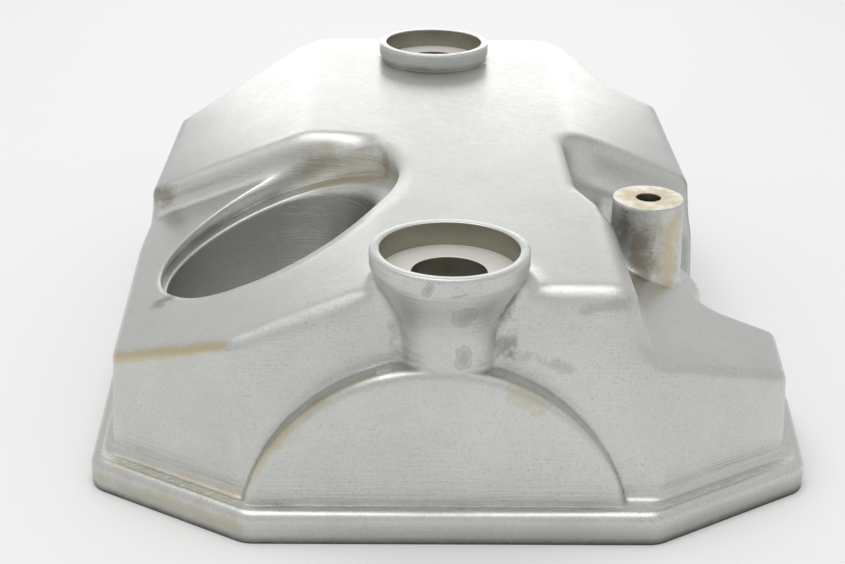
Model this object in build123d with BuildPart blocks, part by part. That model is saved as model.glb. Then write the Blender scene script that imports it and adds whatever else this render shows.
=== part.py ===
from build123d import *
import math
import os

# Cylinder-head cover, one aluminium casting. Millimetres, +Z up.
# Origin: middle of the flange outline on the gasket face. The half-disc pad faces -Y.

# Flange outline
FLANGE_LENGTH = 184.0
FLANGE_HALF_WIDTH = 71.0
FRONT_EDGE_HALF = 37.0
REAR_EDGE_HALF = 36.5
SHOULDER_INSET = 3.4
SHOULDER_RUN = 18.8
WIDEST_RUN = 74.0
RELIEF_START_RUN = 48.0
RELIEF_END_RUN = 62.0
RELIEF_INSET = 10.2
RELIEF_REAR_INSET = 8.4
RELIEF_REAR_RUN = 33.0
REAR_NOTCH_STEP = 12.5
REAR_NOTCH_RUN = 27.5
REAR_CORNER_RUN = 41.0
FLANGE_HEIGHT = 6.0
FLANGE_EDGE_ROUND = 1.9
FLANGE_CORNER = 6.0
FOOT_ROUND = 1.6

# Walls and roofs
WALL = 3.5
END_DRAFT = 7.0
SIDE_DRAFT = 4.0
END_LEDGE = 5.2
END_OVERCUT = 4.0
END_CORNER_ROUND = 4.5
SHOULDER_LEDGE = 4.4
SIDE_LEDGE = 3.4
BODY_TOP = 60.0
BODY_CORNER = 5.0
PLATEAU_HEIGHT = 45.0
PLATEAU_PITCH = 1.0
PLATEAU_FRONT_RUN = 11.0
ROOF_SLOPE = 21.0
FRONT_RIDGE_X = -14.0
REAR_RIDGE_LEFT_X = -30.5
REAR_RIDGE_RIGHT_X = 29.0
STEP_RUN = 91.0
RIDGE_ROUND = 14.0
STEP_ROUND = 2.5
TOP_ROUND = 2.5

# Right-hand shelf and plug pocket
SHELF_EDGE_X = 31.6
SHELF_LEAN = 12.0
SHELF_BEND = 9.0
SHELF_BEND_RUN = 44.0
POCKET_CORNER = 9.0
SHELF_INNER_X = 35.0
SHELF_INNER_HEIGHT = 33.0
POCKET_EDGE_X = 26.0
POCKET_START_RUN = 60.0
POCKET_END_RUN = 95.0
POCKET_STEP = 8.0
MOUTH_START_RUN = 44.5
POCKET_FLOOR_HEIGHT = 24.0
POCKET_FLOOR_SLOPE = 27.0
SHELF_CUT_DEPTH = 50.0
SHELF_FOOT_ROUND = 5.0
POCKET_ROUND = 3.0
POCKET_CORNER_ROUND = 5.0

# Left-hand plug opening
OPENING_X = -35.4
OPENING_RUN = 58.4
OPENING_LONG_RADIUS = 27.0
OPENING_SHORT_RADIUS = 19.2
OPENING_TURN = 64.0
RECESS_MARGIN = 3.2
RECESS_SHIFT_X = 1.6
RECESS_BACK_X = -26.5
RECESS_BACK_RUN = 88.0
RECESS_BACK_WIDTH = 29.0
RECESS_CORNER = 9.0
RIM_HEIGHT = 28.0
RIM_X = -54.5
RIM_SLOPE = 16.7
TUBE_WALL = 3.2

# Bolt seats
SEAT_SPACING = 140.3
SEAT_X = -1.0
FRONT_SEAT_RUN = 13.0
LIP_TOP = 51.8
LIP_RADIUS = 14.0
SEAT_BORE_RADIUS = 12.3
SEAT_DEPTH = 4.4
GROMMET_RADIUS = 6.7
GROMMET_DEPTH = 6.0
BOLT_RADIUS = 4.0
COLUMN_RADIUS = 9.2
LIP_SIDE_HEIGHT = 2.6
LIP_FLARE = 1.4
NECK_DROP = 13.2
NECK_ROUND = 3.0

# Threaded boss
BOSS_X = 40.0
BOSS_RUN = 54.0
BOSS_RADIUS = 7.0
BOSS_TOP = 46.2
BOSS_DEPTH = 18.0
BOSS_TAP_RADIUS = 2.5
BOSS_TAP_DEPTH = 13.0
BOSS_DRAFT = 2.0
MOUND_RADIUS = 12.0
BOSS_FOOT_ROUND = 1.5

# Half-disc pad
PAD_X = -3.1
PAD_CENTRE_HEIGHT = -2.9
PAD_RADIUS = 35.6
PAD_RUN = 3.4
PAD_DEPTH = 9.0
PAD_EDGE_ROUND = 1.8

# Gasket groove
GROOVE_MARGIN = 2.2
GROOVE_WIDTH = 2.8
GROOVE_DEPTH = 2.0

EDGE_SLACK = 0.1
FAR = 120.0

front = -FLANGE_LENGTH / 2
rear = FLANGE_LENGTH / 2
slope = math.tan(math.radians(ROOF_SLOPE))
plateau_front = front + PLATEAU_FRONT_RUN
step_y = front + STEP_RUN
shoulder_half = FLANGE_HALF_WIDTH - SHOULDER_INSET
boss_y = front + BOSS_RUN
mouth_y = front + MOUTH_START_RUN
pocket_rear = front + POCKET_END_RUN - POCKET_STEP
strip_x = POCKET_EDGE_X + POCKET_STEP
step_low = PLATEAU_HEIGHT - slope * (FLANGE_HALF_WIDTH + REAR_RIDGE_LEFT_X)
shelf_front_height = SHELF_INNER_HEIGHT - slope * (shoulder_half - SHELF_INNER_X)
shelf_foot_height = SHELF_INNER_HEIGHT + slope * (SHELF_INNER_X - POCKET_EDGE_X)

flange_corners = [
    (-FRONT_EDGE_HALF, front),
    (FRONT_EDGE_HALF, front),
    (shoulder_half, front + SHOULDER_RUN),
    (FLANGE_HALF_WIDTH, front + RELIEF_START_RUN),
    (FLANGE_HALF_WIDTH - RELIEF_INSET, front + RELIEF_END_RUN),
    (FLANGE_HALF_WIDTH - RELIEF_REAR_INSET, rear - RELIEF_REAR_RUN),
    (REAR_EDGE_HALF + REAR_NOTCH_STEP, rear - REAR_NOTCH_RUN),
    (REAR_EDGE_HALF, rear),
    (-REAR_EDGE_HALF, rear),
    (-FLANGE_HALF_WIDTH, rear - REAR_CORNER_RUN),
    (-FLANGE_HALF_WIDTH, front + WIDEST_RUN),
    (-shoulder_half, front + SHOULDER_RUN),
]
end_ledge = END_LEDGE - END_OVERCUT
ledges = [end_ledge, SHOULDER_LEDGE] + 5 * [SIDE_LEDGE] + [end_ledge] + 3 * [SIDE_LEDGE] + [SHOULDER_LEDGE]


def inset_corners(corners, gaps):
    """Corners of an outline after each of its sides has moved inwards by its own gap."""
    moved = []
    for place, corner in enumerate(corners):
        here = Vector(*corner)
        along_in = (here - Vector(*corners[place - 1])).normalized()
        along_out = (Vector(*corners[(place + 1) % len(corners)]) - here).normalized()
        inward_in = Vector(-along_in.Y, along_in.X)
        inward_out = Vector(-along_out.Y, along_out.X)
        level_in = here.dot(inward_in) + gaps[place - 1]
        level_out = here.dot(inward_out) + gaps[place]
        turn = inward_in.X * inward_out.Y - inward_in.Y * inward_out.X
        x = (level_in * inward_out.Y - level_out * inward_in.Y) / turn
        y = (inward_in.X * level_out - inward_out.X * level_in) / turn
        moved.append((x, y))
    return moved


def lies_in(x_low, x_high, y_low, y_high, z_low, z_high):
    """Chooser of the edges that lie wholly inside a box."""

    def chosen(edge):
        box = edge.bounding_box()
        across = x_low - EDGE_SLACK < box.min.X and box.max.X < x_high + EDGE_SLACK
        along = y_low - EDGE_SLACK < box.min.Y and box.max.Y < y_high + EDGE_SLACK
        up = z_low - EDGE_SLACK < box.min.Z and box.max.Z < z_high + EDGE_SLACK
        return across and along and up

    return chosen


def roof_section(y, drop):
    """Upright sketch plane across the cover at y, level with the pitched plateau less drop."""
    pitch = math.radians(PLATEAU_PITCH)
    height = PLATEAU_HEIGHT + (y - plateau_front) * math.tan(pitch) - drop
    return Plane(origin=(0, y, height), x_dir=(1, 0, 0), z_dir=(0, -math.cos(pitch), -math.sin(pitch)))


def shelf_air(gap):
    """Space over the right-hand shelf and beside the boss."""
    drop = gap / math.cos(math.radians(ROOF_SLOPE))
    edge = [
        (SHELF_EDGE_X, front - FAR),
        (SHELF_EDGE_X, front + SHELF_BEND_RUN),
        (POCKET_EDGE_X, front + POCKET_START_RUN),
        (POCKET_EDGE_X, front + POCKET_END_RUN),
        (POCKET_EDGE_X + 2 * POCKET_CORNER, front + POCKET_END_RUN),
    ]
    spread = (BODY_TOP - PLATEAU_HEIGHT) * math.tan(math.radians(SHELF_LEAN))
    with BuildPart() as air:
        with BuildSketch(Plane.XY.offset(BODY_TOP)):
            with BuildLine():
                FilletPolyline(*edge, radius=SHELF_BEND)
                Polyline(edge[-1], (FAR, edge[-1][1]), (FAR, edge[0][1]), edge[0])
            make_face()
            offset(amount=gap + spread, kind=Kind.INTERSECTION)
        extrude(amount=-SHELF_CUT_DEPTH, taper=SHELF_LEAN)
        with BuildSketch(roof_section(plateau_front, drop)):
            rise = SHELF_INNER_HEIGHT - PLATEAU_HEIGHT
            Polygon(
                (SHELF_INNER_X - FAR, rise + FAR * slope),
                (SHELF_INNER_X - FAR, -FAR),
                (SHELF_INNER_X + FAR, -FAR),
                (SHELF_INNER_X + FAR, rise - FAR * slope),
                align=None,
            )
        extrude(amount=2 * FAR, both=True, mode=Mode.SUBTRACT)
    return air.part


def pocket_air(gap):
    """Space of the plug pocket behind the boss, open to the right."""
    mouth = [
        (FAR, front + MOUTH_START_RUN),
        (BOSS_X, front + MOUTH_START_RUN),
        (POCKET_EDGE_X + POCKET_STEP, front + BOSS_RUN),
        (POCKET_EDGE_X + POCKET_STEP, front + POCKET_END_RUN - POCKET_STEP),
        (FAR, front + POCKET_END_RUN - POCKET_STEP),
    ]
    floor_run = math.tan(math.radians(POCKET_FLOOR_SLOPE))
    drop = gap / math.cos(math.radians(POCKET_FLOOR_SLOPE))
    with BuildPart() as air:
        with BuildSketch(Plane.XY.offset(PLATEAU_HEIGHT)):
            Polygon(*mouth, align=None)
            offset(amount=gap, kind=Kind.INTERSECTION)
            with Locations((BOSS_X, front + BOSS_RUN)):
                Circle(MOUND_RADIUS - gap, mode=Mode.SUBTRACT)
        extrude(amount=-PLATEAU_HEIGHT)
        with BuildSketch(Plane.XZ):
            Polygon(
                (0, POCKET_FLOOR_HEIGHT + POCKET_EDGE_X * floor_run - drop),
                (0, -FAR),
                (FAR, -FAR),
                (FAR, POCKET_FLOOR_HEIGHT + (POCKET_EDGE_X - FAR) * floor_run - drop),
                align=None,
            )
        extrude(amount=2 * FAR, both=True, mode=Mode.SUBTRACT)
    return air.part


def recess_air(gap):
    """Space over the sunk rim of the plug opening."""
    drop = gap / math.cos(math.radians(RIM_SLOPE))
    rim = Plane(origin=(RIM_X, 0, RIM_HEIGHT - drop)).rotated((0, -RIM_SLOPE, 0))
    with BuildPart() as air:
        with BuildSketch(Plane.XY):
            middle = (OPENING_X + RECESS_SHIFT_X, front + OPENING_RUN + RECESS_MARGIN, 0)
            with Locations(Location(middle, OPENING_TURN)):
                Ellipse(OPENING_LONG_RADIUS + RECESS_MARGIN + gap, OPENING_SHORT_RADIUS + RECESS_MARGIN + gap)
            with Locations((RECESS_BACK_X, front + RECESS_BACK_RUN + gap)):
                RectangleRounded(
                    RECESS_BACK_WIDTH + 2 * gap,
                    RECESS_BACK_WIDTH + 2 * gap,
                    RECESS_CORNER + gap,
                    align=(Align.CENTER, Align.MAX),
                )
        extrude(amount=BODY_TOP)
        split(bisect_by=rim, keep=Keep.TOP)
    return air.part


def front_left_air(gap, drop):
    """Space over the front-left roof, ending behind in the rounded foot of the step."""
    with BuildPart() as air:
        with BuildSketch(roof_section(step_y + gap, drop)):
            Polygon(
                (FRONT_RIDGE_X, 0),
                (FRONT_RIDGE_X, FAR),
                (FRONT_RIDGE_X - FAR, FAR),
                (FRONT_RIDGE_X - FAR, -FAR * slope),
                align=None,
            )
        extrude(amount=2 * FAR)
        fillet(edges().group_by(Axis.Y)[-1].group_by(Axis.Z)[0], STEP_ROUND + gap)
    return air.part


def body_form(gap):
    """Body without its flange; gap moves every wall and roof inwards."""
    drop = gap / math.cos(math.radians(ROOF_SLOPE))
    with BuildPart() as form:
        with BuildSketch():
            Polygon(*inset_corners(flange_corners, [ledge + gap for ledge in ledges]), align=None)
            fillet(vertices(), BODY_CORNER)
        extrude(amount=BODY_TOP, taper=SIDE_DRAFT)
        with BuildSketch(Plane.YZ):
            lean = BODY_TOP * math.tan(math.radians(END_DRAFT))
            Polygon(
                (front + END_LEDGE + gap, 0),
                (rear - END_LEDGE - gap, 0),
                (rear - END_LEDGE - gap - lean, BODY_TOP),
                (front + END_LEDGE + gap + lean, BODY_TOP),
                align=None,
            )
        extrude(amount=FAR, both=True, mode=Mode.INTERSECT)
        end_edges = faces().sort_by(Axis.Y)[0].edges() + faces().sort_by(Axis.Y)[-1].edges()
        corner_edges = end_edges.filter_by(lambda edge: abs(edge.tangent_at(0.5).Z) > 0.5)
        fillet(corner_edges, END_CORNER_ROUND - gap)
        with BuildSketch(roof_section(plateau_front, drop)):
            Polygon(
                (REAR_RIDGE_LEFT_X, 0),
                (REAR_RIDGE_RIGHT_X, 0),
                (REAR_RIDGE_RIGHT_X + FAR, -FAR * slope),
                (REAR_RIDGE_RIGHT_X + FAR, FAR),
                (REAR_RIDGE_LEFT_X - FAR, FAR),
                (REAR_RIDGE_LEFT_X - FAR, -FAR * slope),
                align=None,
            )
        extrude(amount=2 * FAR, both=True, mode=Mode.SUBTRACT)
        add(front_left_air(gap, drop), mode=Mode.SUBTRACT)
        add(shelf_air(gap), mode=Mode.SUBTRACT)
        add(pocket_air(gap), mode=Mode.SUBTRACT)
        add(recess_air(gap), mode=Mode.SUBTRACT)
    return form.part


def opening_shape(margin, height):
    """Upright elliptic prism round the plug opening."""
    with BuildPart() as prism:
        with BuildSketch():
            with Locations(Location((OPENING_X, front + OPENING_RUN, 0), OPENING_TURN)):
                Ellipse(OPENING_LONG_RADIUS + margin, OPENING_SHORT_RADIUS + margin)
        extrude(amount=height)
    return prism.part


def seat_form(run):
    """Flared bolt seat with its column, still without bores, standing on the gasket plane."""
    lip_side = LIP_TOP - LIP_SIDE_HEIGHT
    with BuildPart() as post:
        with BuildSketch(Plane.XZ):
            with BuildLine():
                Polyline((0, LIP_TOP), (0, 0), (COLUMN_RADIUS, 0), (COLUMN_RADIUS, lip_side - NECK_DROP))
                Bezier(
                    (COLUMN_RADIUS, lip_side - NECK_DROP),
                    (COLUMN_RADIUS, lip_side - NECK_DROP / 2),
                    (LIP_RADIUS - LIP_FLARE, lip_side - NECK_DROP / 3),
                    (LIP_RADIUS, lip_side),
                )
                Polyline((LIP_RADIUS, lip_side), (LIP_RADIUS, LIP_TOP), (0, LIP_TOP))
            make_face()
        revolve(axis=Axis.Z)
    return Pos(SEAT_X, front + run, 0) * post.part


outer_form = body_form(0.0)
inner_form = body_form(WALL)

tube_form = opening_shape(TUBE_WALL, BODY_TOP)
bore_form = opening_shape(0.0, BODY_TOP)
front_seat = seat_form(FRONT_SEAT_RUN)
rear_seat = seat_form(FRONT_SEAT_RUN + SEAT_SPACING)

with BuildPart() as cavity:
    add(inner_form)
    add(tube_form, mode=Mode.SUBTRACT)
    add(front_seat, mode=Mode.SUBTRACT)
    add(rear_seat, mode=Mode.SUBTRACT)

front_seat_place = (SEAT_X, front + FRONT_SEAT_RUN, LIP_TOP)
rear_seat_place = (SEAT_X, front + FRONT_SEAT_RUN + SEAT_SPACING, LIP_TOP)
boss_place = (BOSS_X, boss_y, BOSS_TOP)
groove_outer = inset_corners(flange_corners, len(flange_corners) * [GROOVE_MARGIN])
groove_inner = inset_corners(flange_corners, len(flange_corners) * [GROOVE_MARGIN + GROOVE_WIDTH])

# Where each rounded edge lies
front_ridge = lies_in(FRONT_RIDGE_X, FRONT_RIDGE_X, front, boss_y, step_low, BODY_TOP)
left_ridge = lies_in(REAR_RIDGE_LEFT_X, REAR_RIDGE_LEFT_X, step_y, rear, step_low, BODY_TOP)
right_ridge = lies_in(REAR_RIDGE_RIGHT_X, REAR_RIDGE_RIGHT_X, step_y, rear, step_low, BODY_TOP)
shelf_foot = lies_in(POCKET_EDGE_X, SHELF_INNER_X, front, mouth_y, SHELF_INNER_HEIGHT, shelf_foot_height)
step_top = lies_in(-FAR, REAR_RIDGE_LEFT_X, step_y - STEP_ROUND, step_y + STEP_ROUND, step_low, BODY_TOP)
front_top = lies_in(-FAR, FAR, front, front + SHOULDER_RUN + FLANGE_CORNER, shelf_front_height, BODY_TOP)
shelf_top = lies_in(POCKET_EDGE_X, SHELF_INNER_X, front, boss_y, PLATEAU_HEIGHT - TOP_ROUND, BODY_TOP)
strip_ends = lies_in(strip_x, strip_x, boss_y, pocket_rear, FLANGE_HEIGHT, BODY_TOP)
mouth_edges = lies_in(BOSS_X, FAR, mouth_y, mouth_y, FLANGE_HEIGHT, SHELF_INNER_HEIGHT)
mouth_top = lies_in(BOSS_X, FAR, mouth_y, mouth_y, shelf_front_height, SHELF_INNER_HEIGHT)
pad_rim = lies_in(-FAR, FAR, front + PAD_RUN, front + PAD_RUN, FLANGE_HEIGHT, PAD_RADIUS)
boss_low = (BOSS_X - MOUND_RADIUS, BOSS_X + MOUND_RADIUS, boss_y - MOUND_RADIUS, boss_y + MOUND_RADIUS)
boss_foot = lies_in(*boss_low, POCKET_FLOOR_HEIGHT, BOSS_TOP - BOSS_RADIUS)
neck_half = LIP_RADIUS + NECK_DROP / 2
neck_end = front + FRONT_SEAT_RUN + neck_half
front_neck = lies_in(SEAT_X - neck_half, SEAT_X + neck_half, front, neck_end, step_low, LIP_TOP)


with BuildPart() as cover:
    with BuildSketch():
        Polygon(*flange_corners, align=None)
        fillet(vertices(), FLANGE_CORNER)
    extrude(amount=FLANGE_HEIGHT)
    fillet(edges().group_by(Axis.Z)[-1], FLANGE_EDGE_ROUND)
    add(outer_form)
    ledge = faces().sort_by_distance((0, front + END_LEDGE / 2, FLANGE_HEIGHT))[0]
    fillet(ledge.inner_wires().edges(), FOOT_ROUND)
    for ridge in (front_ridge, left_ridge, right_ridge):
        fillet(edges().filter_by(ridge), RIDGE_ROUND)
    fillet(edges().filter_by(shelf_foot), SHELF_FOOT_ROUND)
    fillet(edges().filter_by(step_top), STEP_ROUND)
    fillet(edges().filter_by(front_top), TOP_ROUND)
    fillet(edges().filter_by(shelf_top), TOP_ROUND)
    fillet(edges().filter_by(strip_ends).filter_by(Axis.Z).sort_by(Axis.Y)[-1:], POCKET_CORNER_ROUND)
    fillet(edges().filter_by(strip_ends).filter_by(Axis.Z), POCKET_ROUND)
    fillet(edges().filter_by(mouth_edges).filter_by(Axis.Z), POCKET_ROUND)
    fillet(edges().filter_by(mouth_top).sort_by(SortBy.LENGTH)[-1:], POCKET_ROUND)
    with BuildSketch(Plane.XZ.offset(-front - PAD_RUN)):
        with Locations((PAD_X, PAD_CENTRE_HEIGHT)):
            Circle(PAD_RADIUS)
        Rectangle(2 * FAR, FAR, align=(Align.CENTER, Align.MAX), mode=Mode.SUBTRACT)
    extrude(amount=-PAD_DEPTH)
    fillet(edges().filter_by(pad_rim).filter_by(GeomType.CIRCLE).sort_by(SortBy.LENGTH)[-1:], PAD_EDGE_ROUND)
    with BuildSketch(Plane.XY.offset(BOSS_TOP)):
        with Locations(boss_place[:2]):
            Circle(BOSS_RADIUS)
    extrude(amount=-BOSS_DEPTH, taper=-BOSS_DRAFT)
    fillet(edges().filter_by(boss_foot).filter_by(GeomType.ELLIPSE), BOSS_FOOT_ROUND)
    add(front_seat)
    add(rear_seat)
    fillet(edges().filter_by(front_neck).sort_by(SortBy.LENGTH)[-1:], NECK_ROUND)
    add(cavity.part, mode=Mode.SUBTRACT)
    add(bore_form, mode=Mode.SUBTRACT)
    with Locations(front_seat_place, rear_seat_place):
        CounterBoreHole(GROMMET_RADIUS, SEAT_BORE_RADIUS, SEAT_DEPTH, depth=SEAT_DEPTH + GROMMET_DEPTH)
        Hole(BOLT_RADIUS)
    with Locations(boss_place):
        Hole(BOSS_TAP_RADIUS, depth=BOSS_TAP_DEPTH)
    with BuildSketch():
        Polygon(*groove_outer, align=None)
        Polygon(*groove_inner, align=None, mode=Mode.SUBTRACT)
    extrude(amount=GROOVE_DEPTH, mode=Mode.SUBTRACT)

cover.part.label = "valve_cover"
os.makedirs("parts", exist_ok=True)
export_step(cover.part, "parts/valve_cover.step")
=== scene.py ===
import math

import bmesh
import bpy
from mathutils import Matrix, Vector
from mathutils.bvhtree import BVHTree


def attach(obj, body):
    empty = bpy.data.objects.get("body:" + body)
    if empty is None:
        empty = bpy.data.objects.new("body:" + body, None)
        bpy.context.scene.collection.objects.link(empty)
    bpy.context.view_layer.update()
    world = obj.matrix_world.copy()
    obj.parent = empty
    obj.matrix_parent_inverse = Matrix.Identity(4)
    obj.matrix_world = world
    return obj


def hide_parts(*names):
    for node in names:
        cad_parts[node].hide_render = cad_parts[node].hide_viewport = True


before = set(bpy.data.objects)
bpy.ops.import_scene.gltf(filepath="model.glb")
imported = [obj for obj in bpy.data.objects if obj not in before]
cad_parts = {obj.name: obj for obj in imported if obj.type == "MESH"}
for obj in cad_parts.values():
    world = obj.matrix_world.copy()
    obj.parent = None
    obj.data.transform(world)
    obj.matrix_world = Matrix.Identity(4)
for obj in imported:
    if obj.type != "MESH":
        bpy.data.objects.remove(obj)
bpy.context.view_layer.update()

MM = 0.001

# Camera: where it stands in millimetres, how it is turned, and its lens and sensor width
CAMERA_PLACE = (-10.062, -316.513, 149.573)
CAMERA_PITCH = 23.678
CAMERA_YAW = 1.069
CAMERA_ROLL = 0.835
CAMERA_LENS = 63.48
CAMERA_SENSOR = 36.0

# Places on the casting, in millimetres
SEAT_X = -1.0
FRONT_SEAT_Y = -79.0
REAR_SEAT_Y = 61.3
SEAT_FLOOR = 47.4
SEAT_LIP_RADIUS = 14.0
SEAT_BORE_RADIUS = 12.3
BOSS_PLACE = (40.0, -38.0)
BOSS_TOP = 46.2
BOSS_RADIUS = 7.3
BORE_DEPTH = 13.0
ROUND_PLACES = [
    ((SEAT_X, FRONT_SEAT_Y), SEAT_BORE_RADIUS, SEAT_FLOOR - BORE_DEPTH),
    ((SEAT_X, REAR_SEAT_Y), SEAT_BORE_RADIUS, SEAT_FLOOR - BORE_DEPTH),
    (BOSS_PLACE, BOSS_RADIUS, BOSS_TOP - BORE_DEPTH),
]
ROUND_MARGIN = 0.1
GASKET_BAND = 0.05
CLEARANCE = 0.05
INNER_HALF_LENGTH = 85.0

# Mesh: points closer than this are merged, facets flatter than this are joined, edges
# sharper than this are kept sharp
MERGE_DISTANCE = 0.002
FLAT_ANGLE = 0.2
SHARP_ANGLE = 24.0
NORMAL_WEIGHT = 80

# Softened edges: broad above this height, small below it and within this reach of a seat
ROOF_START = 33.0
ROOF_BAND = 6.0
SEAT_REACH = 14.5
SEAT_BAND = 3.0
SHADER_SAMPLES = 8

# How far the hollow mask reaches out of a hollow, on each finish: painted shade on the outside,
# residue on the turned faces and inside
WIDE_REACH = 6.0
TIGHT_REACH = 2.2
TURNED_REACH = 2.5
INSIDE_REACH = 12.0

# The flange's side: how high its painted shade band and its ragged painted shadow at the foot go
SIDE_HEIGHT = 4.8
FOOT_HEIGHT = 1.6

# Lamps, surroundings and floor, in metres and watts
WORLD_STRENGTH = 0.7
BACK_CARD_PLACE = (0.0, 0.40, 0.12)
BACK_CARD_AIM = (0.0, 0.0, 0.12)
BACK_CARD_SIZE = (0.34, 0.19)
BACK_CARD_POWER = 0.25
OVER_LAMP_PLACE = (-0.1, 0.0, 1.1)
OVER_LAMP_SIZE = (0.9, 0.9)
OVER_LAMP_POWER = 4.4
FLOOR_SIZE = 6.0
FLOOR_CLOUD = 0.3


def mm(*values):
    """A point given in millimetres, in metres."""
    return Vector(values) * MM


# ---------------------------------------------------------------- node helpers


def put(tree, kind, **settings):
    """Adds a node and sets its properties; keys that start with in_ set sockets."""
    node = tree.nodes.new(kind)
    for key, value in settings.items():
        if not key.startswith("in_"):
            setattr(node, key, value)
    for key, value in settings.items():
        if key.startswith("in_"):
            name = key[3:].replace("_", " ")
            node.inputs[name].default_value = value
    return node


def wire(tree, source, target):
    """Joins an output socket to an input socket."""
    tree.links.new(source, target)


def maths(tree, operation, first, second, clamp=False):
    """A Math node on sockets or plain numbers; returns its output."""
    node = put(tree, "ShaderNodeMath", operation=operation, use_clamp=clamp)
    for place, value in enumerate((first, second)):
        if isinstance(value, (int, float)):
            node.inputs[place].default_value = value
        else:
            wire(tree, value, node.inputs[place])
    return node.outputs[0]


def ramp(tree, value, stops):
    """A ColorRamp node over (place, grey or colour) stops; returns its colour output."""
    node = put(tree, "ShaderNodeValToRGB")
    marks = node.color_ramp.elements
    while len(marks) < len(stops):
        marks.new(0.5)
    for mark, (place, colour) in zip(marks, stops):
        mark.position = place
        if isinstance(colour, (int, float)):
            colour = (colour, colour, colour)
        mark.color = (*colour, 1.0)
    wire(tree, value, node.inputs["Fac"])
    return node.outputs["Color"]


def tint(tree, mask, under, over):
    """Mixes a colour over another one by a mask; returns the colour."""
    node = put(tree, "ShaderNodeMix", data_type="RGBA")
    for name, value in (("Factor", mask), ("A", under), ("B", over)):
        socket = [end for end in node.inputs if end.name == name and end.enabled][0]
        if isinstance(value, tuple):
            socket.default_value = (*value, 1.0)
        else:
            wire(tree, value, socket)
    return [end for end in node.outputs if end.enabled][0]


def stain(tree, colour, mask, strength, shade):
    """Lays a shade over a colour by a share of a mask; returns the colour."""
    return tint(tree, maths(tree, "MULTIPLY", mask, strength), colour, shade)


def scaled(tree, value, factor, base):
    """A value times a factor plus a base; returns the output."""
    return maths(tree, "ADD", maths(tree, "MULTIPLY", value, factor), base)


def fade(tree, value, span):
    """One at zero, falling to nothing at a span; returns the output."""
    return maths(tree, "SUBTRACT", 1.0, maths(tree, "DIVIDE", value, span), clamp=True)


def rise(tree, value, start, band):
    """Nothing below a start, rising to one over a band; returns the output."""
    return maths(tree, "DIVIDE", maths(tree, "SUBTRACT", value, start), band, clamp=True)


def group(name, inputs, outputs):
    """Starts a shader node group with named sockets; returns the tree and its two ends."""
    tree = bpy.data.node_groups.new(name, "ShaderNodeTree")
    for label, kind, value in inputs:
        socket = tree.interface.new_socket(label, in_out="INPUT", socket_type=kind)
        if value is not None:
            socket.default_value = value
    for label, kind in outputs:
        tree.interface.new_socket(label, in_out="OUTPUT", socket_type=kind)
    start = tree.nodes.new("NodeGroupInput")
    end = tree.nodes.new("NodeGroupOutput")
    return tree, start.outputs, end.inputs


def use(tree, made, **values):
    """Places a node group; values are sockets, numbers or vectors by input name."""
    node = put(tree, "ShaderNodeGroup")
    node.node_tree = made
    for key, value in values.items():
        socket = node.inputs[key.replace("_", " ")]
        if isinstance(value, bpy.types.NodeSocket):
            wire(tree, value, socket)
        else:
            socket.default_value = value
    return node.outputs


# ---------------------------------------------------------------- shared effects


def make_mottle():
    """Soft cloudy change over the casting, in two sizes, and a fine grain."""
    tree, ins, outs = group(
        "casting_mottle",
        [("Place", "NodeSocketVector", None), ("Size", "NodeSocketFloat", 0.02)],
        [
            ("Cloud", "NodeSocketFloat"),
            ("Speckle", "NodeSocketFloat"),
            ("Grain", "NodeSocketFloat"),
        ],
    )
    scale = maths(tree, "DIVIDE", 1.0, ins["Size"])
    big = put(tree, "ShaderNodeTexNoise", in_Detail=4.0, in_Roughness=0.6)
    wire(tree, ins["Place"], big.inputs["Vector"])
    wire(tree, scale, big.inputs["Scale"])
    small = put(tree, "ShaderNodeTexNoise", in_Detail=3.0, in_Roughness=0.7)
    wire(tree, ins["Place"], small.inputs["Vector"])
    wire(tree, maths(tree, "MULTIPLY", scale, 14.0), small.inputs["Scale"])
    fine = put(tree, "ShaderNodeTexNoise", in_Scale=2600.0, in_Detail=2.0, in_Roughness=0.6)
    wire(tree, ins["Place"], fine.inputs["Vector"])
    wire(tree, big.outputs["Fac"], outs["Cloud"])
    wire(tree, small.outputs["Fac"], outs["Speckle"])
    wire(tree, fine.outputs["Fac"], outs["Grain"])
    return tree


def make_pits():
    """Small dark pits scattered over the casting, as a mask."""
    tree, ins, outs = group(
        "casting_pits",
        [("Place", "NodeSocketVector", None), ("Density", "NodeSocketFloat", 700.0)],
        [("Mask", "NodeSocketFloat")],
    )
    cells = put(tree, "ShaderNodeTexVoronoi", feature="F1")
    wire(tree, ins["Place"], cells.inputs["Vector"])
    wire(tree, ins["Density"], cells.inputs["Scale"])
    where = put(tree, "ShaderNodeTexNoise", in_Scale=60.0, in_Detail=3.0)
    wire(tree, ins["Place"], where.inputs["Vector"])
    size = maths(tree, "MULTIPLY", maths(tree, "SUBTRACT", where.outputs["Fac"], 0.42), 1.1)
    inside = maths(tree, "SUBTRACT", size, cells.outputs["Distance"])
    wire(tree, maths(tree, "MULTIPLY", inside, 9.0, clamp=True), outs["Mask"])
    return tree


def make_brushing():
    """Fine lines across the cover, left by a wire brush, as a height."""
    tree, ins, outs = group(
        "brush_lines",
        [
            ("Place", "NodeSocketVector", None),
            ("Stretch", "NodeSocketVector", (60.0, 60.0, 2600.0)),
        ],
        [("Height", "NodeSocketFloat")],
    )
    stretched = put(tree, "ShaderNodeVectorMath", operation="MULTIPLY")
    wire(tree, ins["Place"], stretched.inputs[0])
    wire(tree, ins["Stretch"], stretched.inputs[1])
    lines = put(tree, "ShaderNodeTexNoise", in_Scale=1.0, in_Detail=5.0, in_Roughness=0.62)
    wire(tree, stretched.outputs[0], lines.inputs["Vector"])
    wire(tree, lines.outputs["Fac"], outs["Height"])
    return tree


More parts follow.
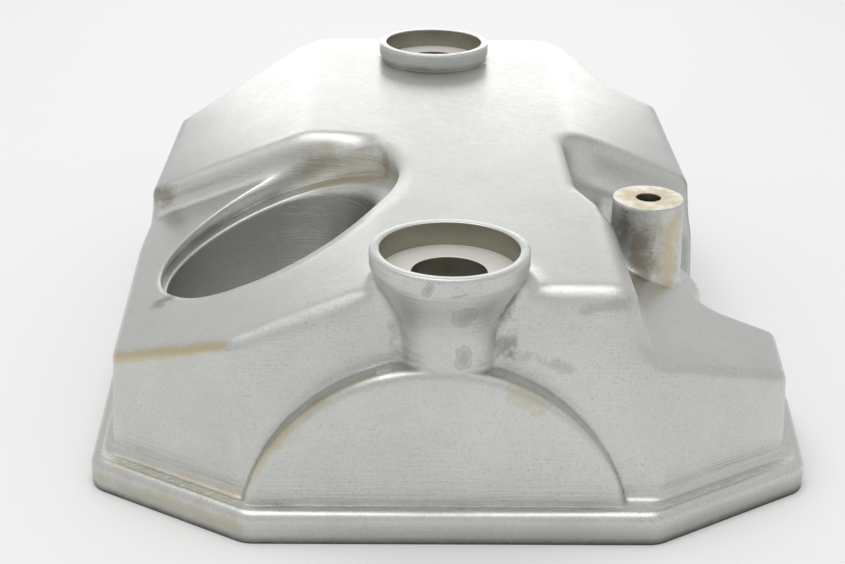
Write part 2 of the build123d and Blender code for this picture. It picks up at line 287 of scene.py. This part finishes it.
def make_hollow_shade_and_grime():
    """A mask of hollows from occlusion, broken up by noise: painted shade on the outside,
    residue in the turned faces and inside.
    """
    tree, ins, outs = group(
        "corner_shade_and_grime",
        [
            ("Place", "NodeSocketVector", None),
            ("Reach", "NodeSocketFloat", 0.006),
            ("Amount", "NodeSocketFloat", 1.0),
        ],
        [("Mask", "NodeSocketFloat")],
    )
    hollow = put(tree, "ShaderNodeAmbientOcclusion", samples=SHADER_SAMPLES, only_local=True)
    wire(tree, ins["Reach"], hollow.inputs["Distance"])
    shut = maths(tree, "SUBTRACT", 1.0, hollow.outputs["AO"])
    noise = put(tree, "ShaderNodeTexNoise", in_Scale=90.0, in_Detail=5.0, in_Roughness=0.65)
    wire(tree, ins["Place"], noise.inputs["Vector"])
    broken = maths(tree, "MULTIPLY", shut, maths(tree, "ADD", noise.outputs["Fac"], 0.45))
    raised = maths(tree, "MULTIPLY", maths(tree, "SUBTRACT", broken, 0.36), 3.2)
    wire(tree, maths(tree, "MULTIPLY", raised, ins["Amount"], clamp=True), outs["Mask"])
    return tree


def make_streak():
    """A ragged streak of residue between two points; Outline darkens its edge."""
    tree, ins, outs = group(
        "residue_streak",
        [
            ("Place", "NodeSocketVector", None),
            ("Start", "NodeSocketVector", (0.0, 0.0, 0.0)),
            ("End", "NodeSocketVector", (0.01, 0.0, 0.0)),
            ("Width", "NodeSocketFloat", 0.002),
            ("Ragged", "NodeSocketFloat", 0.6),
            ("Grain", "NodeSocketFloat", 260.0),
            ("Outline", "NodeSocketFloat", 0.0),
        ],
        [("Mask", "NodeSocketFloat")],
    )

    def vector(operation, first, second):
        node = put(tree, "ShaderNodeVectorMath", operation=operation)
        wire(tree, first, node.inputs[0])
        wire(tree, second, node.inputs[1])
        return node.outputs["Value" if operation in ("DOT_PRODUCT", "DISTANCE") else "Vector"]

    run = vector("SUBTRACT", ins["End"], ins["Start"])
    reach = vector("SUBTRACT", ins["Place"], ins["Start"])
    covered = vector("DOT_PRODUCT", reach, run)
    share = maths(tree, "DIVIDE", covered, vector("DOT_PRODUCT", run, run), clamp=True)
    along = put(tree, "ShaderNodeVectorMath", operation="SCALE")
    wire(tree, run, along.inputs[0])
    wire(tree, share, along.inputs["Scale"])
    away = maths(tree, "DIVIDE", vector("DISTANCE", reach, along.outputs[0]), ins["Width"])
    noise = put(tree, "ShaderNodeTexNoise", in_Detail=5.0, in_Roughness=0.7)
    wire(tree, ins["Place"], noise.inputs["Vector"])
    wire(tree, ins["Grain"], noise.inputs["Scale"])
    swing = maths(tree, "MULTIPLY", ins["Ragged"], 4.0)
    wobble = maths(tree, "MULTIPLY", maths(tree, "SUBTRACT", noise.outputs["Fac"], 0.5), swing)
    left = maths(tree, "SUBTRACT", 1.0, maths(tree, "ADD", away, wobble))
    soft = maths(tree, "MULTIPLY", left, 1.4, clamp=True)
    thinned = maths(tree, "SUBTRACT", 1.0, maths(tree, "MULTIPLY", ins["Outline"], 0.35))
    body = maths(tree, "MULTIPLY", soft, thinned)
    edge = ramp(tree, left, [(0.0, 0.0), (0.14, 1.0), (0.34, 0.0)])
    outline = maths(tree, "MULTIPLY", edge, ins["Outline"])
    wire(tree, maths(tree, "ADD", body, outline, clamp=True), outs["Mask"])
    return tree


def make_soft_edges():
    """Normal with rounded edges: broad high on the roofs, small low down and round the seats."""
    tree, ins, outs = group(
        "rounded_edges",
        [
            ("Place", "NodeSocketVector", None),
            ("Small", "NodeSocketFloat", 0.0015),
            ("Broad", "NodeSocketFloat", 0.0038),
        ],
        [("Normal", "NodeSocketVector")],
    )
    axes = put(tree, "ShaderNodeSeparateXYZ")
    wire(tree, ins["Place"], axes.inputs[0])
    share = rise(tree, axes.outputs["Z"], ROOF_START * MM, ROOF_BAND * MM)
    level = put(tree, "ShaderNodeVectorMath", operation="MULTIPLY")
    wire(tree, ins["Place"], level.inputs[0])
    level.inputs[1].default_value = (1.0, 1.0, 0.0)
    for (x, y), _, _ in ROUND_PLACES:
        away = put(tree, "ShaderNodeVectorMath", operation="DISTANCE")
        wire(tree, level.outputs[0], away.inputs[0])
        away.inputs[1].default_value = mm(x, y, 0.0)
        clear = rise(tree, away.outputs["Value"], SEAT_REACH * MM, SEAT_BAND * MM)
        share = maths(tree, "MULTIPLY", share, clear)
    span = maths(tree, "SUBTRACT", ins["Broad"], ins["Small"])
    radius = maths(tree, "ADD", maths(tree, "MULTIPLY", span, share), ins["Small"])
    rounded = put(tree, "ShaderNodeBevel", samples=SHADER_SAMPLES)
    wire(tree, radius, rounded.inputs["Radius"])
    wire(tree, rounded.outputs["Normal"], outs["Normal"])
    return tree


mottle = make_mottle()
pits = make_pits()
brushing = make_brushing()
shade_and_grime = make_hollow_shade_and_grime()
streak = make_streak()
soft_edges = make_soft_edges()


# ---------------------------------------------------------------- finishes

BARE_METAL = (0.66, 0.67, 0.645)
DULL_METAL = (0.58, 0.59, 0.565)
TAN_RESIDUE = (0.50, 0.43, 0.28)
GOLD_RESIDUE = (0.56, 0.47, 0.27)
BROWN_RESIDUE = (0.20, 0.15, 0.09)
# Dark colour for real grain, pits and marks, and for painted shade in the hollows and at the
# flange's foot
DARK_GRIME_AND_SHADE = (0.11, 0.105, 0.09)
SIDE_SHADE = (0.27, 0.27, 0.245)
SPOT_OUTLINE = 0.6


def start_finish(name, metallic):
    """A new material with its Principled shader and Object coordinates."""
    material = bpy.data.materials.new(name)
    material.use_nodes = True
    tree = material.node_tree
    tree.nodes.clear()
    out = tree.nodes.new("ShaderNodeOutputMaterial")
    shader = put(tree, "ShaderNodeBsdfPrincipled", in_Metallic=metallic)
    wire(tree, shader.outputs["BSDF"], out.inputs["Surface"])
    place = tree.nodes.new("ShaderNodeTexCoord").outputs["Object"]
    return material, tree, shader, place


def bump(tree, shader, place, heights, small, broad):
    """Stacks heights, each (socket, distance, strength), on edges rounded in millimetres."""
    normal = use(tree, soft_edges, Place=place, Small=small * MM, Broad=broad * MM)["Normal"]
    for height, distance, strength in heights:
        node = put(tree, "ShaderNodeBump", in_Distance=distance, in_Strength=strength)
        wire(tree, height, node.inputs["Height"])
        wire(tree, normal, node.inputs["Normal"])
        normal = node.outputs["Normal"]
    wire(tree, normal, shader.inputs["Normal"])


# Residue and dark marks on the outside: start, end and half width in millimetres, colour,
# strength, raggedness
RESIDUE = [
    ((-62.5, -69.2, 25.2), (-40.5, -81.6, 34.2), 1.5, GOLD_RESIDUE, 0.75, 0.35),
    ((-37.0, -88.0, 11.0), (-32.0, -87.5, 18.5), 2.2, GOLD_RESIDUE, 0.65, 0.4),
    ((-32.0, -87.5, 18.5), (-24.0, -87.0, 26.5), 2.2, GOLD_RESIDUE, 0.55, 0.4),
    ((-24.0, -87.0, 26.5), (-14.0, -87.0, 31.5), 1.8, TAN_RESIDUE, 0.45, 0.5),
    ((-62.0, -74.0, 6.8), (-39.0, -87.0, 6.8), 2.4, GOLD_RESIDUE, 0.55, 0.5),
    ((-67.0, -72.0, 3.0), (-38.0, -91.0, 3.0), 2.2, TAN_RESIDUE, 0.45, 0.7),
    ((-28.0, -2.0, 39.0), (-12.5, -9.5, 41.5), 6.5, TAN_RESIDUE, 0.5, 0.6),
    ((-13.5, -8.5, 37.0), (-12.5, -14.0, 38.0), 3.0, BROWN_RESIDUE, 0.5, 0.6),
    ((-65.0, -0.5, 31.5), (-62.0, -0.5, 32.5), 3.0, BROWN_RESIDUE, 0.6, 0.7),
    ((-56.0, -54.0, 30.0), (-52.0, -51.0, 30.0), 2.6, BROWN_RESIDUE, 0.6, 0.7),
    ((40.0, -38.0, 33.0), (40.0, -38.0, 41.5), 9.0, BROWN_RESIDUE, 0.5, 0.45),
    ((38.0, -45.5, 30.0), (37.5, -45.5, 41.0), 3.2, BROWN_RESIDUE, 0.55, 0.5),
    ((43.5, -44.5, 32.0), (44.5, -44.0, 43.0), 3.0, GOLD_RESIDUE, 0.6, 0.5),
    ((-2.0, -93.2, 48.4), (4.0, -92.6, 49.6), 0.45, DARK_GRIME_AND_SHADE, 0.3, 0.9),
    ((-21.5, -82.2, 38.8), (-15.5, -82.0, 40.2), 0.16, DARK_GRIME_AND_SHADE, 0.55, 0.3),
    # These two rows darken both flanks of the front seat's neck, the right one more
    ((8.8, -83.5, 34.0), (10.0, -83.5, 44.0), 2.2, DARK_GRIME_AND_SHADE, 0.5, 0.9),
    ((-10.6, -83.5, 34.0), (-11.4, -83.5, 40.0), 1.8, DARK_GRIME_AND_SHADE, 0.3, 0.9),
    ((10.0, -83.2, 34.0), (20.0, -83.6, 30.5), 1.4, DARK_GRIME_AND_SHADE, 0.22, 1.0),
    ((22.0, -81.9, 41.0), (30.0, -81.6, 42.5), 1.6, DARK_GRIME_AND_SHADE, 0.22, 1.2),
    ((31.0, -80.0, 34.0), (31.5, -80.0, 42.0), 1.2, DARK_GRIME_AND_SHADE, 0.25, 1.1),
]

# Dried spots with a darker outline, in the same order
SPOTS = [
    ((11.0, -88.6, 28.0), (14.5, -88.6, 27.0), 2.4, TAN_RESIDUE, 0.5, 0.7),
    ((-5.4, -92.5, 49.0), (-4.6, -92.5, 50.4), 0.9, DARK_GRIME_AND_SHADE, 0.42, 0.5),
    ((1.0, -90.2, 43.0), (1.5, -89.8, 44.6), 2.1, DARK_GRIME_AND_SHADE, 0.34, 0.6),
    ((1.4, -88.2, 34.2), (1.6, -88.2, 36.2), 1.6, DARK_GRIME_AND_SHADE, 0.38, 0.6),
]


def add_residue(tree, place, colour):
    """Lays every streak of residue over a colour; returns the new colour."""
    marks = [(*row, 0.0) for row in RESIDUE] + [(*row, SPOT_OUTLINE) for row in SPOTS]
    for start, end, width, shade, strength, ragged, outline in marks:
        spot = use(
            tree,
            streak,
            Place=place,
            Start=mm(*start),
            End=mm(*end),
            Width=width * MM,
            Ragged=ragged,
            Outline=outline,
        )
        colour = stain(tree, colour, spot["Mask"], strength, shade)
    return colour


def make_skin():
    """Bare casting outside: brushed, mottled and stained, with painted shade in its hollows and
    on the flange's side.
    """
    material, tree, shader, place = start_finish("bare_casting", 1.0)
    clouds = use(tree, mottle, Place=place, Size=0.03)
    cloud = ramp(tree, clouds["Cloud"], [(0.35, 0.0), (0.7, 1.0)])
    colour = tint(tree, cloud, DULL_METAL, BARE_METAL)
    grains = ramp(tree, clouds["Grain"], [(0.34, 1.0), (0.46, 0.0)])
    colour = stain(tree, colour, grains, 0.16, DARK_GRIME_AND_SHADE)
    colour = add_residue(tree, place, colour)
    # Painted shade: the outside's hollows are darkened with the dark colour, over a wide and a
    # tight reach
    hollow_shade_and_dirt = use(tree, shade_and_grime, Place=place, Reach=WIDE_REACH * MM, Amount=1.0)
    colour = stain(tree, colour, hollow_shade_and_dirt["Mask"], 0.45, DARK_GRIME_AND_SHADE)
    tight_painted_shade = use(tree, shade_and_grime, Place=place, Reach=TIGHT_REACH * MM, Amount=1.2)
    colour = stain(tree, colour, tight_painted_shade["Mask"], 0.75, DARK_GRIME_AND_SHADE)
    holes = use(tree, pits, Place=place, Density=1100.0)
    colour = stain(tree, colour, holes["Mask"], 0.22, DARK_GRIME_AND_SHADE)

    # The flange's side gets painted shade, more so to the right, and a ragged painted shadow at
    # its foot
    axes = put(tree, "ShaderNodeSeparateXYZ")
    wire(tree, place, axes.inputs[0])
    side = fade(tree, axes.outputs["Z"], SIDE_HEIGHT * MM)
    side_shade_share = maths(tree, "MULTIPLY", axes.outputs["X"], 4.6)
    side_shade_share = maths(tree, "ADD", side_shade_share, 0.72, clamp=True)
    colour = tint(tree, maths(tree, "MULTIPLY", side, side_shade_share, clamp=True), colour, SIDE_SHADE)
    # Painted shadow along the foot, where the flange meets the floor
    foot = fade(tree, axes.outputs["Z"], FOOT_HEIGHT * MM)
    broken = maths(tree, "ADD", clouds["Speckle"], 0.5)
    ragged_foot_shadow = maths(tree, "MULTIPLY", foot, broken, clamp=True)
    colour = stain(tree, colour, ragged_foot_shadow, 0.9, DARK_GRIME_AND_SHADE)
    wire(tree, colour, shader.inputs["Base Color"])

    rough = scaled(tree, clouds["Speckle"], 0.16, 0.25)
    dusty = maths(tree, "MULTIPLY", hollow_shade_and_dirt["Mask"], 0.2)
    wire(tree, maths(tree, "ADD", rough, dusty), shader.inputs["Roughness"])

    # Brush lines show on the walls, not on what faces up
    lines = use(tree, brushing, Place=place)
    facing = put(tree, "ShaderNodeSeparateXYZ")
    wire(tree, tree.nodes.new("ShaderNodeNewGeometry").outputs["Normal"], facing.inputs[0])
    tilt = maths(tree, "MULTIPLY", facing.outputs["Z"], 2.5)
    upright = maths(tree, "SUBTRACT", 1.0, tilt, clamp=True)
    brushed = maths(tree, "MULTIPLY", lines["Height"], upright)
    heights = [
        (brushed, 0.0003, 0.38),
        (clouds["Speckle"], 0.0003, 0.14),
        (clouds["Grain"], 0.0001, 0.1),
    ]
    bump(tree, shader, place, heights, 1.3, 5.4)
    return material


def make_turned():
    """Cutter-turned seat floors, rims and boss top, pale with a yellow film."""
    material, tree, shader, place = start_finish("turned_faces", 0.4)
    clouds = use(tree, mottle, Place=place, Size=0.012)
    colour = tint(tree, clouds["Cloud"], (0.88, 0.86, 0.78), (0.88, 0.88, 0.85))
    start = mm(*BOSS_PLACE, 46.0)
    end = mm(*BOSS_PLACE, 47.0)
    film = use(tree, streak, Place=place, Start=start, End=end, Width=10 * MM)
    colour = stain(tree, colour, film["Mask"], 0.9, GOLD_RESIDUE)
    hollow_shade_and_dirt = use(tree, shade_and_grime, Place=place, Reach=TURNED_REACH * MM, Amount=1.0)
    colour = stain(tree, colour, hollow_shade_and_dirt["Mask"], 0.55, GOLD_RESIDUE)
    wire(tree, colour, shader.inputs["Base Color"])
    wire(tree, scaled(tree, clouds["Speckle"], 0.2, 0.3), shader.inputs["Roughness"])
    bump(tree, shader, place, [(clouds["Speckle"], 0.0002, 0.2)], 0.4, 0.4)
    return material


def make_bores():
    """Walls of the seat cups and bolt holes: brown, and darkened as painted shade inside the
    cups.
    """
    material, tree, shader, place = start_finish("brown_shaded_bores", 1.0)
    clouds = use(tree, mottle, Place=place, Size=0.008)
    # Dark brown base colour: partly the bores' own brown, partly painted shade inside the cups
    colour = tint(tree, clouds["Cloud"], (0.27, 0.25, 0.19), (0.38, 0.37, 0.32))
    holes = use(tree, pits, Place=place, Density=900.0)
    colour = stain(tree, colour, holes["Mask"], 0.5, BROWN_RESIDUE)
    wire(tree, colour, shader.inputs["Base Color"])
    wire(tree, scaled(tree, clouds["Speckle"], 0.25, 0.3), shader.inputs["Roughness"])
    bump(tree, shader, place, [(clouds["Speckle"], 0.0003, 0.3)], 0.4, 0.4)
    return material


def make_inside():
    """Rough, oily casting inside."""
    material, tree, shader, place = start_finish("raw_inside", 1.0)
    clouds = use(tree, mottle, Place=place, Size=0.02)
    colour = tint(tree, clouds["Cloud"], (0.60, 0.60, 0.55), (0.76, 0.77, 0.73))
    hollow_shade_and_dirt = use(tree, shade_and_grime, Place=place, Reach=INSIDE_REACH * MM, Amount=0.8)
    colour = stain(tree, colour, hollow_shade_and_dirt["Mask"], 0.6, BROWN_RESIDUE)
    wire(tree, colour, shader.inputs["Base Color"])
    wire(tree, scaled(tree, clouds["Speckle"], 0.25, 0.38), shader.inputs["Roughness"])
    bump(tree, shader, place, [(clouds["Speckle"], 0.0008, 0.45)], 1.0, 1.0)
    return material


def make_milled():
    """Milled gasket face."""
    material, tree, shader, place = start_finish("milled_face", 1.0)
    clouds = use(tree, mottle, Place=place, Size=0.02)
    colour = tint(tree, clouds["Cloud"], (0.48, 0.46, 0.42), (0.66, 0.66, 0.65))
    wire(tree, colour, shader.inputs["Base Color"])
    wire(tree, scaled(tree, clouds["Speckle"], 0.2, 0.25), shader.inputs["Roughness"])
    lines = use(tree, brushing, Place=place, Stretch=(1800.0, 40.0, 40.0))
    bump(tree, shader, place, [(lines["Height"], 0.0001, 0.3)], 0.3, 0.3)
    return material


finishes = [make_skin(), make_turned(), make_bores(), make_inside(), make_milled()]
SKIN, TURNED, BORES, INSIDE, MILLED = range(5)


# ---------------------------------------------------------------- the casting


def finish_of(corners, normal, covered):
    """Which finish a facet has: its corners in millimetres, its normal, and metal above it."""
    low = min(corner.z for corner in corners)
    high = max(corner.z for corner in corners)
    if high < GASKET_BAND and normal.z < -0.5:
        return MILLED
    for (x, y), radius, floor in ROUND_PLACES:
        reach = max(math.hypot(corner.x - x, corner.y - y) for corner in corners)
        inward = (corners[0].x - x) * normal.x + (corners[0].y - y) * normal.y < 0.0
        if reach < radius + ROUND_MARGIN and low > floor - ROUND_MARGIN and not covered:
            if normal.z > 0.7:
                return TURNED
            if inward:
                return BORES
    return INSIDE if covered else SKIN


def make_casting():
    """The casting: the solid's own shape, merged, with a finish on each facet."""
    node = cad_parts["valve_cover"]
    mesh = node.data.copy()
    casting = bpy.data.objects.new("cover_casting", mesh)
    bpy.context.scene.collection.objects.link(casting)
    form = bmesh.new()
    form.from_mesh(mesh)
    bmesh.ops.remove_doubles(form, verts=form.verts, dist=MERGE_DISTANCE * MM)
    bmesh.ops.dissolve_limit(
        form,
        angle_limit=math.radians(FLAT_ANGLE),
        verts=form.verts,
        edges=form.edges,
        use_dissolve_boundaries=False,
    )
    form.normal_update()
    solid = BVHTree.FromBMesh(form)
    for face in form.faces:
        centre = face.calc_center_median()
        start = centre + face.normal * CLEARANCE * MM
        above = solid.ray_cast(start, Vector((0.0, 0.0, 1.0)))[0]
        from_seat = math.hypot(centre.x / MM - SEAT_X, centre.y / MM - FRONT_SEAT_Y)
        covered = above is not None and abs(centre.y) < INNER_HALF_LENGTH * MM
        if from_seat < SEAT_LIP_RADIUS and face.normal.y < 0.0:
            covered = False
        face.smooth = True
        corners = [corner.co / MM for corner in face.verts]
        face.material_index = finish_of(corners, face.normal, covered)
    for edge in form.edges:
        edge.smooth = edge.calc_face_angle(0.0) < math.radians(SHARP_ANGLE)
    mesh.materials.clear()
    for finish in finishes:
        mesh.materials.append(finish)
    form.to_mesh(mesh)
    form.free()
    weighted = casting.modifiers.new("even_normals", "WEIGHTED_NORMAL")
    weighted.keep_sharp = True
    weighted.weight = NORMAL_WEIGHT
    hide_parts("valve_cover")
    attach(casting, "root")


make_casting()


# ---------------------------------------------------------------- floor, light and camera


def make_floor():
    """Plain pale floor under the cover."""
    form = bmesh.new()
    bmesh.ops.create_grid(form, x_segments=1, y_segments=1, size=FLOOR_SIZE)
    mesh = bpy.data.meshes.new("floor")
    form.to_mesh(mesh)
    form.free()
    floor = bpy.data.objects.new("floor", mesh)
    bpy.context.scene.collection.objects.link(floor)
    material = bpy.data.materials.new("pale_floor")
    material.use_nodes = True
    tree = material.node_tree
    shader = tree.nodes["Principled BSDF"]
    place = tree.nodes.new("ShaderNodeTexCoord").outputs["Object"]
    clouds = use(tree, mottle, Place=place, Size=FLOOR_CLOUD)
    colour = tint(tree, clouds["Cloud"], (0.89, 0.89, 0.885), (0.91, 0.91, 0.91))
    wire(tree, colour, shader.inputs["Base Color"])
    shader.inputs["Roughness"].default_value = 0.8
    mesh.materials.append(material)


def make_lamp(name, place, aim, size, power):
    """A soft area lamp, width by height, that looks at a point, in metres."""
    data = bpy.data.lights.new(name, "AREA")
    data.shape = "RECTANGLE"
    data.size, data.size_y = size
    data.energy = power
    lamp = bpy.data.objects.new(name, data)
    lamp.location = place
    lamp.rotation_euler = (Vector(aim) - Vector(place)).to_track_quat("-Z", "Y").to_euler()
    bpy.context.scene.collection.objects.link(lamp)
    return lamp


def make_world(strength):
    """Even pale surroundings."""
    world = bpy.data.worlds.new("studio")
    bpy.context.scene.world = world
    world.use_nodes = True
    back = world.node_tree.nodes["Background"]
    back.inputs["Color"].default_value = (1.0, 1.0, 1.0, 1.0)
    back.inputs["Strength"].default_value = strength


def make_camera():
    """Camera at the working view of the cover."""
    pitch, yaw, roll = map(math.radians, (CAMERA_PITCH, CAMERA_YAW, CAMERA_ROLL))
    level = math.cos(pitch)
    ahead = Vector((math.sin(yaw) * level, math.cos(yaw) * level, -math.sin(pitch)))
    right = ahead.cross(Vector((0.0, 0.0, 1.0))).normalized()
    up = right.cross(ahead)
    turned_right = right * math.cos(roll) + up * math.sin(roll)
    turned_up = up * math.cos(roll) - right * math.sin(roll)
    data = bpy.data.cameras.new("camera")
    data.lens = CAMERA_LENS
    data.sensor_width = CAMERA_SENSOR
    data.clip_start = 0.01
    camera = bpy.data.objects.new("camera", data)
    turn = Matrix((turned_right, turned_up, -ahead)).transposed().to_4x4()
    camera.matrix_world = Matrix.Translation(mm(*CAMERA_PLACE)) @ turn
    bpy.context.scene.collection.objects.link(camera)
    bpy.context.scene.camera = camera


make_floor()
make_world(WORLD_STRENGTH)
back_card = make_lamp(
    "back_card", BACK_CARD_PLACE, BACK_CARD_AIM, BACK_CARD_SIZE, BACK_CARD_POWER
)
back_card.visible_diffuse = False
make_lamp("over_lamp", OVER_LAMP_PLACE, (0.0, 0.0, 0.0), OVER_LAMP_SIZE, OVER_LAMP_POWER)
make_camera()
bpy.context.scene.view_settings.view_transform = "Standard"
